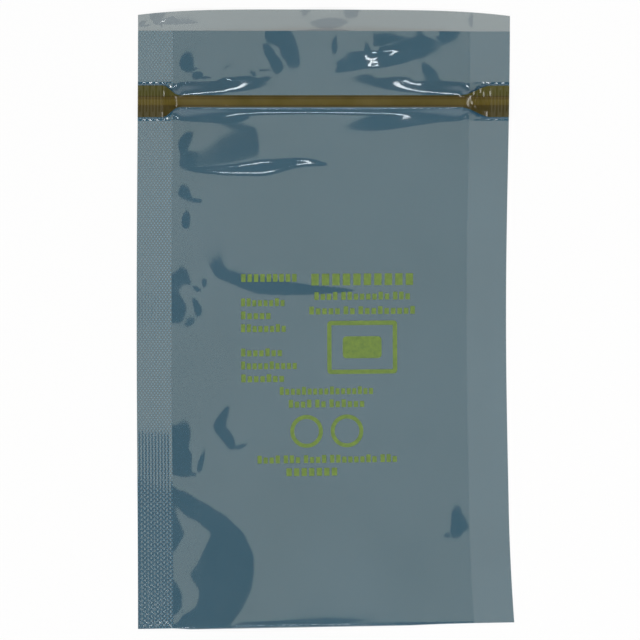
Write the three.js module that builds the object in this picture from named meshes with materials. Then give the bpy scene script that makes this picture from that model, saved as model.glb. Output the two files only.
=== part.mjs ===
// A zip shielding bag for circuit boards, empty and shut, lying flat with its printed side up.
// X runs across the bag, +Y runs towards its mouth, +Z points up from the surface it lies on.
// Places on the bag are given as (p, q): p across from the middle, q up from the bottom fold.

import * as THREE from "three";
import { mergeVertices } from "three/addons/utils/BufferGeometryUtils.js";

// Driving dimensions of the bag, in millimetres
const bagWidth = 95.25; // over both side seals
const frontHeight = 152.2; // bottom fold to the front wall's top edge
const lipHeight = 5.5; // how far the back wall stands past the front wall
const filmThickness = 0.08;
const leftSeal = 9.0;
const rightSeal = 10.2;
const pillowHeight = 1.0; // space between the walls of the empty bag
const sealRamp = 8.0; // distance over which the walls part, in from a side seal
const foldGap = 0.6; // space between the walls at the bottom fold
const footRamp = 14.0; // distance over which the bottom fold opens to the pillow
const mouthRipple = 0.45; // soft waves in the front wall above the zipper
const rippleLength = 17.0;
const closestGap = 0.05; // the walls never lie closer where they aren't welded
const coverSlope = 0.3; // fall of the front wall beside the zipper
const lipCrown = 1.5; // middle of the lip beyond its corners
const lipCurl = 0.5; // the lip's edge lifts off the table
const leftBow = 0.35; // both sides bow a little to the left halfway up
const rightBow = 1.0;
const footFlare = 1.1; // the right side leans out at the bottom
const flareReach = 30.0;
const footSkew = 1.7; // the bottom's left corner lies this much below the right one

// The zipper: a rib strip on the front wall pressed into a groove strip on the back wall
const zipperDrop = 18.0; // front wall's top edge down to the middle of the zipper
const bandWidth = 3.0;
const stripBase = 0.3;
const jawHeight = 1.0;
const jawSpan = 2.1; // over both jaws of the groove strip
const jawLip = 0.4; // thickness of the hooks at the jaws' tips
const hookSlant = 0.1; // the hooks' undersides rise this much towards the jaws
const neckWidth = 0.6;
const headWidth = 1.0;
const headTip = 0.4; // flat tip of the rib's head
const fitClearance = 0.05;
const crushedWidth = 8.0; // each strip where it is crushed flat in a side seal
const crushedThickness = 0.22;
const leftTaper = 2.6; // within each seal the strips flatten out over this length
const rightTaper = 5.6;
const crushRunIn = 0.9; // the strips have their full form this far inside the seals
const drapeWidth = 0.9; // the film closes beside the crushed ends over this distance

// The print: thin patches of ink on the front wall
const inkThickness = 0.02;
const printRise = -2.9; // middle of the print above the middle of the pouch
const noticeLeft = -20.7; // left end of the narrow column's lines
const noticeWidths = [14.3, 11.2, 7.6, 11.5, 10.5, 14.3, 11.0];
const titleMiddle = 10.5; // middle of the wide column
const titleWidths = [26.2, 24.6, 27.2];
const footMiddle = 1.2; // middle of the rows below both columns
const noteWidths = [24.0, 19.4];
const footWidths = [35.8, 13.0];
const lastLineShift = -4.0; // the last line lies left of the middle
const lineHeight = 2.0;
const lineGap = 1.3;
const groupGap = 2.9;
const titleHeight = 3.0;
const titleGap = 1.7;
const frameWidth = 18.0;
const frameHeight = 13.6;
const frameLine = 1.1;
const blockWidth = 10.0;
const blockHeight = 5.6;
const ringOuter = 8.4;
const ringLine = 1.0;
const ringSpacing = 10.4;
const ringGap = 1.9; // clear film above and below the rings
const inkCorner = 0.5; // rounded corners of the bars
const fieldMargin = 2.2; // flat film kept around the print

// Straight runs in round forms
const arcSteps = 4; // the bottom fold
const ringSides = 26;
const cornerSides = 2;

// Sizes that follow from the ones above
const halfWidth = bagWidth / 2;
const leftEdge = -halfWidth + leftSeal;
const rightEdge = halfWidth - rightSeal;
const backHeight = frontHeight + lipHeight;
const zipperAt = frontHeight - zipperDrop;
const bandReach = bandWidth / 2 + fitClearance;
const slotReach = crushedWidth / 2 + fitClearance;
const halfReach = (bandReach + slotReach) / 2;
const drapeReach = slotReach + drapeWidth;
const fullStack = 2 * stripBase + jawHeight + 3 * fitClearance;
const crushedStack = 2 * crushedThickness + 3 * fitClearance;

const filmFinish = new THREE.MeshStandardMaterial({
  color: 0x6f8a99, roughness: 0.22, metalness: 0.7, transparent: true, opacity: 0.82,
});
const zipperFinish = new THREE.MeshStandardMaterial({ color: 0x6b5a20, roughness: 0.45, metalness: 0 });
const inkFinish = new THREE.MeshStandardMaterial({ color: 0x7c9636, roughness: 0.55, metalness: 0 });

function ease(share) {
  const t = Math.min(1, Math.max(0, share));
  return t * t * (3 - 2 * t);
}

// Where a place on the flat pattern lies on the table: the sides bow and the bottom runs askew
function lay(p, q) {
  const side = p / halfWidth;
  const rightShare = (1 + side) / 2;
  const bow = (leftBow + (rightBow - leftBow) * rightShare) * Math.sin((Math.PI * q) / backHeight) ** 2;
  const flare = footFlare * rightShare * Math.max(0, 1 - q / flareReach) ** 2;
  const skew = (footSkew / 2) * side * (1 - q / zipperAt);
  const crown = lipCrown * side ** 4 * Math.max(0, (q - frontHeight) / lipHeight);
  return [p - bow + flare, q + skew - crown];
}

// Breakpoints with a number of equal steps between them, as one rising list
function stepsThrough(start, stops) {
  const places = [start];
  for (const [stop, count] of stops) {
    const from = places[places.length - 1];
    for (let k = 1; k <= count; k++) places.push(from + ((stop - from) * k) / count);
  }
  return places;
}

// Printed marks

function mark(name, kind, p, width, height) {
  return { name, kind, p, width, height };
}

// Each column's marks are stacked downwards, so none can run into the next
function stackDown(top, column, gaps) {
  let low = top;
  column.forEach((entry, k) => {
    entry.q = low - entry.height / 2;
    low -= entry.height + (gaps[k] ?? 0);
  });
  return Math.min(...column.map(lowEnd));
}

function lowEnd(entry) {
  return entry.q - entry.height / 2;
}

function noticeColumn() {
  const lines = noticeWidths.map((width, k) => {
    return mark(`print_notice_line_${k + 1}`, "bar", noticeLeft + width / 2, width, lineHeight);
  });
  const loose = lineGap + groupGap;
  const low = stackDown(0, lines, [loose, lineGap, lineGap, loose, lineGap, lineGap]);
  return { lines, low };
}

function titleColumn() {
  const titles = titleWidths.map((width, k) => {
    return mark(`print_title_line_${k + 1}`, "bar", titleMiddle, width, k === 0 ? titleHeight : lineHeight);
  });
  const frame = mark("print_frame", "frame", titleMiddle, frameWidth, frameHeight);
  const low = stackDown(0, [...titles, frame], [titleGap, titleGap, titleGap]);
  const block = mark("print_block", "bar", titleMiddle, blockWidth, blockHeight);
  block.q = frame.q;
  return { titles: [...titles, frame, block], low };
}

function footRows(top) {
  const notes = noteWidths.map((width, k) => {
    return mark(`print_note_line_${k + 1}`, "bar", footMiddle, width, lineHeight);
  });
  const ring = mark("print_ring_left", "ring", footMiddle - ringSpacing / 2, ringOuter, ringOuter);
  const feet = footWidths.map((width, k) => {
    return mark(`print_foot_line_${k + 1}`, "bar", footMiddle + k * lastLineShift, width, lineHeight);
  });
  stackDown(top, [...notes, ring, ...feet], [lineGap, ringGap, ringGap, lineGap]);
  const twin = { ...ring, name: "print_ring_right", p: ring.p + ringSpacing };
  return [...notes, ring, twin, ...feet];
}

// All the marks, moved together so that their middle lies where the print belongs
function printMarks() {
  const { lines, low: noticeLow } = noticeColumn();
  const { titles, low: titleLow } = titleColumn();
  const all = [...lines, ...titles, ...footRows(Math.min(noticeLow, titleLow) - lineGap)];
  const shift = zipperAt / 2 + printRise - Math.min(...all.map(lowEnd)) / 2;
  return all.map((entry) => ({ ...entry, q: entry.q + shift }));
}

const marks = printMarks();

// The film is flat over this field, which takes in all the print
const field = {
  left: Math.min(...marks.map((entry) => entry.p - entry.width / 2)) - fieldMargin,
  right: Math.max(...marks.map((entry) => entry.p + entry.width / 2)) + fieldMargin,
  low: Math.min(...marks.map(lowEnd)) - fieldMargin,
  high: Math.max(...marks.map((entry) => entry.q + entry.height / 2)) + fieldMargin,
};

function roundedOutline(path, width, height, corner) {
  const [w, h] = [width / 2, height / 2];
  path.moveTo(-w + corner, -h);
  path.lineTo(w - corner, -h);
  path.absarc(w - corner, -h + corner, corner, -Math.PI / 2, 0, false);
  path.absarc(w - corner, h - corner, corner, 0, Math.PI / 2, false);
  path.absarc(-w + corner, h - corner, corner, Math.PI / 2, Math.PI, false);
  path.absarc(-w + corner, -h + corner, corner, Math.PI, 1.5 * Math.PI, false);
  return path;
}

function markShape({ kind, width, height }) {
  const shape = new THREE.Shape();
  if (kind === "ring") {
    shape.absarc(0, 0, width / 2, 0, 2 * Math.PI, false);
    shape.holes.push(new THREE.Path().absarc(0, 0, width / 2 - ringLine, 0, 2 * Math.PI, true));
    return shape;
  }
  roundedOutline(shape, width, height, inkCorner);
  if (kind === "frame") {
    const inside = new THREE.Path();
    shape.holes.push(roundedOutline(inside, width - 2 * frameLine, height - 2 * frameLine, inkCorner));
  }
  return shape;
}

function makeMark(entry) {
  const geometry = new THREE.ExtrudeGeometry(markShape(entry), {
    depth: inkThickness,
    bevelEnabled: false,
    curveSegments: entry.kind === "ring" ? ringSides : cornerSides,
  });
  const patch = new THREE.Mesh(geometry, inkFinish.clone());
  const [x, y] = lay(entry.p, entry.q);
  patch.position.set(x, y, 2 * filmThickness + pillowHeight);
  patch.name = entry.name;
  return patch;
}

// The zipper's strips

// How far the strips are crushed at p: 0 in the open middle, 1 in the side seals
function crushAt(p) {
  const left = (leftEdge + crushRunIn - p) / (leftTaper + crushRunIn);
  const right = (p - (rightEdge - crushRunIn)) / (rightTaper + crushRunIn);
  return Math.min(1, Math.max(0, left, right));
}

// Right half of a section, from its outer edge to its middle, each point as across and up
function grooveHalf() {
  const top = stripBase + jawHeight;
  const hook = top - jawLip;
  const cavity = headWidth / 2 + fitClearance;
  const throat = neckWidth / 2 + fitClearance;
  return [
    [bandWidth / 2, stripBase], [jawSpan / 2, stripBase], [jawSpan / 2, top],
    [throat, top], [throat, hook], [cavity, hook + hookSlant], [cavity, stripBase],
  ];
}

function ribHalf() {
  const root = stripBase + jawHeight + fitClearance;
  const headTop = root - jawLip - 2 * fitClearance;
  const tip = stripBase + fitClearance;
  return [
    [bandWidth / 2, root], [neckWidth / 2, root], [neckWidth / 2, headTop],
    [headWidth / 2, headTop], [headTip / 2, tip],
  ];
}

// Crushing spreads the points of a half evenly between two places on the flat strip
function crushed(half, outer, inner, flatUp, crush) {
  return half.map(([across, up], k) => {
    const flat = k === 0 ? crushedWidth / 2 : THREE.MathUtils.lerp(outer, inner, k / (half.length - 1));
    return [THREE.MathUtils.lerp(across, flat, crush), THREE.MathUtils.lerp(up, flatUp, crush)];
  });
}

// Height of both strips between the walls, with the clearances around them
function stackHeight(crush) {
  return THREE.MathUtils.lerp(fullStack, crushedStack, crush);
}

function mirrored(half) {
  return [...half, ...half.map(([across, up]) => [-across, up]).reverse()];
}

function stripHalf(crush) {
  return THREE.MathUtils.lerp(bandWidth, crushedWidth, crush) / 2;
}

// The groove strip stands on its flat base with its jaws up
function grooveSection(crush) {
  const floor = filmThickness + fitClearance;
  const cavity = headWidth / 2 + fitClearance;
  const half = crushed(grooveHalf(), crushedWidth / 2, cavity, crushedThickness, crush);
  const top = mirrored(half).map(([across, up]) => [across, floor + up]);
  return [[-stripHalf(crush), floor], [stripHalf(crush), floor], ...top];
}

// The rib strip hangs from its flat base with its head in the groove
function ribSection(crush) {
  const floor = filmThickness + fitClearance;
  const ceiling = filmThickness + stackHeight(crush) - fitClearance;
  const flatUp = crushedThickness + fitClearance;
  const half = crushed(ribHalf(), neckWidth / 2, headTip / 2, flatUp, crush);
  const under = mirrored(half).map(([across, up]) => [-across, floor + up]);
  return [[stripHalf(crush), ceiling], [-stripHalf(crush), ceiling], ...under];
}

const stripStops = [
  [leftEdge - leftTaper, 1], [leftEdge, 2], [leftEdge + crushRunIn, 1],
  [rightEdge - crushRunIn, 1], [rightEdge, 1], [rightEdge + rightTaper, 2], [halfWidth, 1],
];

// A strip runs straight across the bag, its section changing from stop to stop
function makeStrip(name, sectionFor) {
  const stops = stepsThrough(-halfWidth, stripStops);
  const rings = stops.map((p) => sectionFor(crushAt(p)).map(([across, z]) => {
    const [x, y] = lay(p, zipperAt + across);
    return [x, y, z];
  }));
  const triangles = [];
  const first = rings[0];
  const last = rings[rings.length - 1];
  for (let k = 1; k < first.length - 1; k++) {
    triangles.push(last[0], last[k], last[k + 1], first[0], first[k + 1], first[k]);
  }
  for (let r = 0; r < rings.length - 1; r++) {
    for (let k = 0; k < first.length; k++) {
      const next = (k + 1) % first.length;
      const [a, b, c, d] = [rings[r][k], rings[r][next], rings[r + 1][next], rings[r + 1][k]];
      triangles.push(a, b, c, a, c, d);
    }
  }
  return closedMesh(name, triangles, zipperFinish);
}

function closedMesh(name, triangles, finish) {
  const loose = new THREE.BufferGeometry();
  loose.setAttribute("position", new THREE.Float32BufferAttribute(triangles.flat(), 3));
  const geometry = mergeVertices(loose, 1e-4);
  geometry.computeVertexNormals();
  const mesh = new THREE.Mesh(geometry, finish);
  mesh.name = name;
  return mesh;
}

// The film

// Soft folds in the front wall, each a smooth rise or dent
// at: its middle, long and wide: its half lengths, turn: in degrees, rise: height
const folds = [
  { at: [leftEdge + 19.1, zipperAt - 16.9], long: 19.5, wide: 3.4, turn: -1.5, rise: 0.9 }, // long leaf
  { at: [6.5, zipperAt - 8.7], long: 8.5, wide: 2.6, turn: -62, rise: -0.4 }, // creases right of it
  { at: [leftEdge + 2.6, zipperAt - 9.7], long: 3.6, wide: 2.4, turn: 70, rise: 0.45 },
  { at: [leftEdge + 3.6, zipperAt - 26.2], long: 5.4, wide: 2.4, turn: 55, rise: 0.5 }, // hooked dent
  { at: [leftEdge + 23.6, zipperAt - 45.7], long: 25.0, wide: 4.6, turn: -11, rise: -0.55 }, // long hollow
  { at: [leftEdge + 4.6, zipperAt - 46.9], long: 5.5, wide: 2.6, turn: 0, rise: 0.45 },
  { at: [leftEdge + 3.6, zipperAt - 55.7], long: 4.4, wide: 3.2, turn: -20, rise: -0.45 },
  { at: [leftEdge + 14.1, 47.5], long: 4.6, wide: 3.4, turn: -40, rise: 0.5 }, // small dent beside the print
  { at: [leftEdge + 3.1, 39.0], long: 4.4, wide: 2.4, turn: 8, rise: 0.4 },
  { at: [rightEdge - 3.4, 23.0], long: 5.6, wide: 3.0, turn: 4, rise: -0.5 }, // dent at the right seal
  { at: [rightEdge - 6.4, 38.5], long: 8.5, wide: 3.4, turn: 3, rise: -0.35 },
];

// The large rounded bulge at the bottom left: a ring-shaped fold around a flat middle
const bulge = { at: [leftEdge + 5.6, 17.5], radius: 11.5, wide: 6.5, rise: 0.9 };

function foldRise(fold, p, q) {
  const turn = THREE.MathUtils.degToRad(fold.turn);
  const [dp, dq] = [p - fold.at[0], q - fold.at[1]];
  const along = (dp * Math.cos(turn) + dq * Math.sin(turn)) / fold.long;
  const across = (dq * Math.cos(turn) - dp * Math.sin(turn)) / fold.wide;
  return fold.rise * Math.max(0, 1 - along * along - across * across) ** 1.5;
}

function bulgeRise(p, q) {
  const off = (Math.hypot(p - bulge.at[0], q - bulge.at[1]) - bulge.radius) / bulge.wide;
  return bulge.rise * Math.max(0, 1 - off * off) ** 1.5;
}

// 1 on the printed field, fading to 0 around it
function inField(p, q) {
  const out = Math.hypot(
    Math.max(0, field.left - p, p - field.right),
    Math.max(0, field.low - q, q - field.high),
  );
  return 1 - ease(out / (2 * fieldMargin));
}

function rippleRise(p, q) {
  const above = ease((q - zipperAt - drapeReach) / (frontHeight - zipperAt - drapeReach));
  const lean = (q - zipperAt) / 2;
  return -mouthRipple * above * (0.5 + 0.5 * Math.cos((2 * Math.PI * (p + lean)) / rippleLength));
}

// Space between the walls that the zipper's strips hold open, falling away beside them
function zipperCover(p, q) {
  const crush = crushAt(p);
  const flatReach = [bandReach, halfReach, slotReach].find((reach) => reach >= stripHalf(crush));
  return stackHeight(crush) - coverSlope * Math.max(0, Math.abs(q - zipperAt) - flatReach);
}

// Space between the walls at a place that isn't welded
function wallGap(p, q) {
  const apart = ease(Math.min(p - leftEdge, rightEdge - p) / sealRamp);
  const foot = ease(q / footRamp);
  const relief = folds.reduce((sum, fold) => sum + foldRise(fold, p, q), bulgeRise(p, q)) + rippleRise(p, q);
  const level = foldGap + (pillowHeight - foldGap) * foot + relief * foot * (1 - inField(p, q));
  return Math.max(level * apart, zipperCover(p, q), closestGap);
}

// The lip's free edge curls up a little; the rest of the back wall lies flat
function backLift(q) {
  return lipCurl * Math.max(0, (q - frontHeight) / lipHeight) ** 2;
}

function filmGrid() {
  const columns = stepsThrough(-halfWidth, [
    [leftEdge - leftTaper, 2], [leftEdge, 2], [leftEdge + crushRunIn, 1], [field.left, 5], [field.right, 10],
    [rightEdge - crushRunIn, 4], [rightEdge, 1], [rightEdge + rightTaper, 2], [halfWidth, 1],
  ]);
  const rows = stepsThrough(0, [
    [field.low, 12], [field.high, 8], [zipperAt - drapeReach, 13], [zipperAt - slotReach, 1],
    [zipperAt - bandReach, 2], [zipperAt + bandReach, 1], [zipperAt + slotReach, 2],
    [zipperAt + drapeReach, 1], [frontHeight, 4], [backHeight, 2],
  ]);
  return { columns, rows };
}

// What lies at a cell: both walls apart, both welded together, the back wall alone, or nothing
function kindFinder({ columns, rows }) {
  return (i, j) => {
    if (i < 0 || j < 0 || i >= columns.length - 1 || j >= rows.length - 1) return "none";
    const p = (columns[i] + columns[i + 1]) / 2;
    const q = (rows[j] + rows[j + 1]) / 2;
    if (q > frontHeight) return "lip";
    const inSeal = p < leftEdge || p > rightEdge;
    return inSeal && Math.abs(q - zipperAt) > drapeReach ? "weld" : "open";
  };
}

// The film's four levels over each grid point: back outside, back inside, front inside, front outside
function filmLevels({ columns, rows }, kindOf) {
  const welded = (i, j) => [[0, 0], [1, 0], [0, 1], [1, 1]].some(([m, n]) => kindOf(i - m, j - n) === "weld");
  return columns.map((p, i) => rows.map((q, j) => {
    const [x, y] = lay(p, q);
    const back = backLift(q);
    const inside = back + filmThickness + (welded(i, j) ? 0 : wallGap(p, q));
    return [back, back + filmThickness, inside, inside + filmThickness].map((z) => [x, y, z]);
  }));
}

// A list of triangles that leaves out those whose corners fall together
function skin() {
  const triangles = [];
  const same = (a, b) => a.every((value, axis) => value === b[axis]);
  const triangle = (a, b, c) => {
    if (!same(a, b) && !same(b, c) && !same(c, a)) triangles.push(a, b, c);
  };
  const quad = (a, b, c, d) => {
    triangle(a, b, c);
    triangle(a, c, d);
  };
  return { triangles, triangle, quad };
}

// Film between two levels of a cell, as layer numbers
const filmLayers = { none: [], lip: [0], weld: [0, 1, 2], open: [0, 2] };

// A cell's faces up and down, and its edges towards cells that have less film
function addCell(film, levels, kindOf, i, j) {
  const kind = kindOf(i, j);
  const corners = [levels[i][j], levels[i + 1][j], levels[i + 1][j + 1], levels[i][j + 1]];
  const faceUp = (level) => film.quad(...corners.map((corner) => corner[level]));
  const faceDown = (level) => film.quad(...[0, 3, 2, 1].map((k) => corners[k][level]));
  faceDown(0);
  faceUp(kind === "lip" ? 1 : 3);
  if (kind === "open") {
    faceUp(1);
    faceDown(2);
  }
  const neighbours = [[i, j - 1], [i + 1, j], [i, j + 1], [i - 1, j]];
  neighbours.forEach(([m, n], side) => {
    if (n < 0) return;
    const [a, b] = [corners[side], corners[(side + 1) % 4]];
    const bare = filmLayers[kind].filter((layer) => !filmLayers[kindOf(m, n)].includes(layer));
    bare.forEach((layer) => film.quad(a[layer], b[layer], b[layer + 1], a[layer + 1]));
  });
}

// The bottom fold's round at one column, from its lower level to its upper one
function foldArc(p, low, high) {
  const radius = (high[2] - low[2]) / 2;
  const points = [low];
  for (let k = 1; k < arcSteps; k++) {
    const angle = -Math.PI / 2 + (Math.PI * k) / arcSteps;
    const [x, y] = lay(p, -radius * Math.cos(angle));
    points.push([x, y, low[2] + radius * (1 + Math.sin(angle))]);
  }
  return [...points, high];
}

// The film turns round the bottom fold, outside and inside, and ends flat at both sides
function addFold(film, columns, levels, kindOf) {
  const outer = columns.map((p, i) => foldArc(p, levels[i][0][0], levels[i][0][3]));
  const inner = columns.map((p, i) => foldArc(p, levels[i][0][1], levels[i][0][2]));
  const last = columns.length - 1;
  for (let k = 0; k < arcSteps; k++) {
    for (let i = 0; i < last; i++) {
      const [near, far] = [i, i + 1];
      film.quad(outer[near][k], outer[far][k], outer[far][k + 1], outer[near][k + 1]);
      if (kindOf(i, 0) !== "open") continue;
      film.quad(inner[near][k], inner[near][k + 1], inner[far][k + 1], inner[far][k]);
    }
    film.triangle(levels[0][0][1], outer[0][k], outer[0][k + 1]);
    film.triangle(levels[last][0][1], outer[last][k + 1], outer[last][k]);
  }
}

function makeFilm() {
  const grid = filmGrid();
  const kindOf = kindFinder(grid);
  const levels = filmLevels(grid, kindOf);
  const film = skin();
  for (let i = 0; i < grid.columns.length - 1; i++) {
    for (let j = 0; j < grid.rows.length - 1; j++) addCell(film, levels, kindOf, i, j);
  }
  addFold(film, grid.columns, levels, kindOf);
  return closedMesh("film_sheet", film.triangles, filmFinish);
}

const bag = new THREE.Group();
bag.add(makeFilm());
bag.add(makeStrip("zipper_groove_strip", grooveSection));
bag.add(makeStrip("zipper_rib_strip", ribSection));
marks.forEach((mark) => bag.add(makeMark(mark)));

// The origin is the middle of the bag's footprint, on the table
const extent = new THREE.Box3().setFromObject(bag);
const middle = extent.getCenter(new THREE.Vector3());
bag.position.set(-middle.x, -middle.y, -extent.min.z);

const model = new THREE.Group();
model.add(bag);
export default model;
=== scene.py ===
# A zip shielding bag lying flat and shut, dressed around its CAD frame
# Places on the bag are p, across from its middle, and q, up from its bottom fold, in mm
import math

import bpy
import numpy as np
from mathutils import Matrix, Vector


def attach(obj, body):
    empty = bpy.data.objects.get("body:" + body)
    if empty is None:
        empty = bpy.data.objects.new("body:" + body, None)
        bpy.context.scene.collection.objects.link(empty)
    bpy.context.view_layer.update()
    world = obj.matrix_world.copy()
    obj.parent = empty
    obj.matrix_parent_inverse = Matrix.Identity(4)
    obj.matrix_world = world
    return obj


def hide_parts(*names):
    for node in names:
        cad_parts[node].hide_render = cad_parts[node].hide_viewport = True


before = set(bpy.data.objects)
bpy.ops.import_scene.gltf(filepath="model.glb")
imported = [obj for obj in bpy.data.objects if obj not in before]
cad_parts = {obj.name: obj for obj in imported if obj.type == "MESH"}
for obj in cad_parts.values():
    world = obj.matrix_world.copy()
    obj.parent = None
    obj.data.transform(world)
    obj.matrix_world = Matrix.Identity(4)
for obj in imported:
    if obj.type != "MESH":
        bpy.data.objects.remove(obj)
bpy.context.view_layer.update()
mm = 0.001


def deselectAll():
    if bpy.context.object and bpy.context.object.mode != "OBJECT":
        bpy.ops.object.mode_set(mode="OBJECT")
    bpy.ops.object.select_all(action="DESELECT")


def makeActive(piece):
    deselectAll()
    piece.select_set(True)
    bpy.context.view_layer.objects.active = piece


# pattern of the bag, the same lengths as its solids have

bag = {
    "width": 95.25,
    "frontHeight": 152.2,
    "lipHeight": 5.5,
    "film": 0.08,
    "leftSeal": 9.0,
    "rightSeal": 10.2,
    "closestGap": 0.05,
    "pillow": 0.72,         # space between the walls in the middle
    "pillowRamp": 30.0,     # the walls part over this distance from a side seal
    "sealBlend": 2.5,
    "sealRim": (0.6, 1.6),  # the dents start this far over the seal's edge, and are whole this much on
    "rimRise": 0.10,        # a small rise all round
    "rimRamp": 6.0,
    "rippleRamp": 8.0,
    "mouth": 0.08,          # the walls lie this much further apart above the zipper
    "foldGap": 0.45,
    "foldBulge": 0.38,
    "footRamp": 16.0,
    "leftBow": 0.35,
    "rightBow": 1.0,
    "footFlare": 1.1,
    "flareReach": 30.0,
    "footSkew": 1.7,
    "lipCrown": 1.5,
    "lipCurl": 0.16,
    "lipWave": 0.06,
    "lipRamp": 0.8,
    "shift": (-0.37796, -78.40035),  # pattern to frame
}
zipper = {
    "drop": 18.0,           # front wall's top edge down to the middle of the zipper
    "band": 3.0,
    "crushedWidth": 8.0,
    "stack": 1.75,
    "crushedStack": 0.59,
    "fit": 0.05,
    "leftTaper": 2.6,
    "rightTaper": 5.6,
    "runIn": 0.9,
    "spreadEarly": 0.2,     # its strips widen this share of the taper before they flatten
    "drape": 0.9,
    "crest": 0.62,          # the film over the zipper leans: its lower edge is this much higher
    "crestFall": 1.6,
    "reachBelow": 15.0,     # below the zipper the film comes down over this distance
    "reachAbove": 14.0,
    "reachAtSeal": 3.5,     # but over this much beside a seal
    "reachRamp": 56.0,
    "crestLost": 0.8,       # share of the crest that the crushed ends lose
}
half = bag["width"] / 2
leftEdge = -half + bag["leftSeal"]
rightEdge = half - bag["rightSeal"]
backHeight = bag["frontHeight"] + bag["lipHeight"]
zipAt = bag["frontHeight"] - zipper["drop"]
bandReach = zipper["band"] / 2 + zipper["fit"]
slotReach = zipper["crushedWidth"] / 2 + zipper["fit"]
drapeReach = slotReach + zipper["drape"]


def ease(share):
    t = np.clip(share, 0, 1)
    return t * t * (3 - 2 * t)


def lay(p, q):  # the sides bow and the bottom runs askew
    side = p / half
    rightShare = (1 + side) / 2
    bow = bag["leftBow"] + (bag["rightBow"] - bag["leftBow"]) * rightShare
    bow = bow * np.sin(np.pi * q / backHeight) ** 2
    flare = bag["footFlare"] * rightShare * np.maximum(0, 1 - q / bag["flareReach"]) ** 2
    skew = bag["footSkew"] / 2 * side * (1 - q / zipAt)
    crown = bag["lipCrown"] * side ** 4 * np.maximum(0, (q - bag["frontHeight"]) / bag["lipHeight"])
    return p - bow + flare + bag["shift"][0], q + skew - crown + bag["shift"][1]


def pastWhole(p):  # below 0 where the zipper is whole, over 1 where it is crushed flat
    left = (leftEdge + zipper["runIn"] - p) / (zipper["leftTaper"] + zipper["runIn"])
    right = (p - rightEdge + zipper["runIn"]) / (zipper["rightTaper"] + zipper["runIn"])
    return np.maximum(left, right)


def crushAt(p):
    return np.clip(pastWhole(p), 0, 1)


def stripEdge(p):  # half width of the film bonded to the zipper, a little wider than its strips
    crush = ease((pastWhole(p) + zipper["spreadEarly"]) / (1 + zipper["spreadEarly"]))
    wide = zipper["band"] + (zipper["crushedWidth"] - zipper["band"]) * crush
    return np.clip(wide / 2 + zipper["fit"], bandReach, slotReach)


# folds of the front wall
# A step runs through its points and climbs towards the left-hand side of its run: its half width,
# how much it climbs, or how steeply, and how far beyond it the film takes to come down again. An even
# step has one slope all over; a steep one is steepest in its middle. It dies away at both ends, faster
# with a lower number for its ends, or it grows evenly over a length. A crease is a narrow ridge.

steps = [
    # the long leaf below the zipper
    {"run": [(-37.9, 117.2), (-33.0, 116.8), (-24.0, 116.7), (-14.0, 117.4), (-5.0, 118.6), (3.6, 117.6)],
     "wide": 2.6, "rise": 1.56, "fall": 15.0, "steep": True, "grow": 23.0},
    # the long hollow that runs to the right above the print
    {"run": [(-39.4, 94.6), (-35.2, 93.6), (-30.0, 91.6), (-22.0, 88.8), (-13.3, 86.9), (-3.1, 86.0),
             (6.5, 85.8), (15.0, 85.0)],
     "wide": 2.7, "rise": 0.96, "fall": 15.0, "grow": 24.0},
    # three broad ones between the zipper and the mouth
    {"run": [(-13.4, 153.6), (-10.4, 147.6), (-8.4, 138.6)],
     "wide": 4.6, "slope": 0.13, "fall": 46.0, "ends": 1.0},
    {"run": [(4.6, 156.0), (2.8, 149.0), (3.0, 143.6), (4.8, 139.2)],
     "wide": 1.5, "slope": 0.19, "fall": 50.0,
     "grow": 8.0},
    {"run": [(9.8, 155.0), (11.8, 145.6), (14.4, 138.0)],
     "wide": 1.7, "slope": 0.20, "fall": 50.0, "grow": 8.0},
]
patches = [  # small dents: their run, half width and slope
    {"run": [(-37.6, 124.6), (-36.0, 121.0)], "wide": 1.0, "slope": 0.12},
    {"run": [(-38.4, 109.2), (-35.0, 109.4), (-32.0, 108.8), (-29.2, 108.9)],
     "wide": 1.1, "slope": 0.17, "fall": 5.0},
    {"run": [(-36.0, 102.4), (-32.0, 101.9)], "wide": 1.0, "slope": 0.17, "fall": 5.0},
    {"run": [(-39.2, 88.6), (-34.8, 87.2), (-30.2, 85.4)], "wide": 1.6, "slope": 0.17, "fall": 6.0},
    {"run": [(-39.2, 77.4), (-35.2, 78.2), (-30.6, 80.8)], "wide": 2.3, "slope": 0.16, "fall": 13.0},
    {"run": [(-27.8, 51.0), (-24.6, 48.8), (-22.2, 44.6)], "wide": 1.2, "slope": 0.17, "fall": 11.0},
    {"run": [(-37.9, 44.6), (-36.0, 45.6), (-34.0, 44.6)], "wide": 0.9, "slope": 0.20},
    {"run": [(-37.9, 38.6), (-35.0, 39.4), (-31.6, 38.6)], "wide": 1.5, "slope": 0.20},
    {"run": [(29.6, 22.0), (33.7, 22.9), (37.9, 23.6)], "wide": 1.8, "slope": 0.12},
    # between the zipper and the mouth
    {"run": [(-38.2, 142.8), (-33.0, 142.0), (-27.0, 142.6)], "wide": 1.3, "slope": 0.18, "fall": 6.0},
    {"run": [(24.2, 144.4), (21.8, 139.4)], "wide": 1.0, "slope": 0.17},
    {"run": [(25.4, 153.4), (30.8, 149.8)], "wide": 0.8, "slope": 0.18},
]
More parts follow.
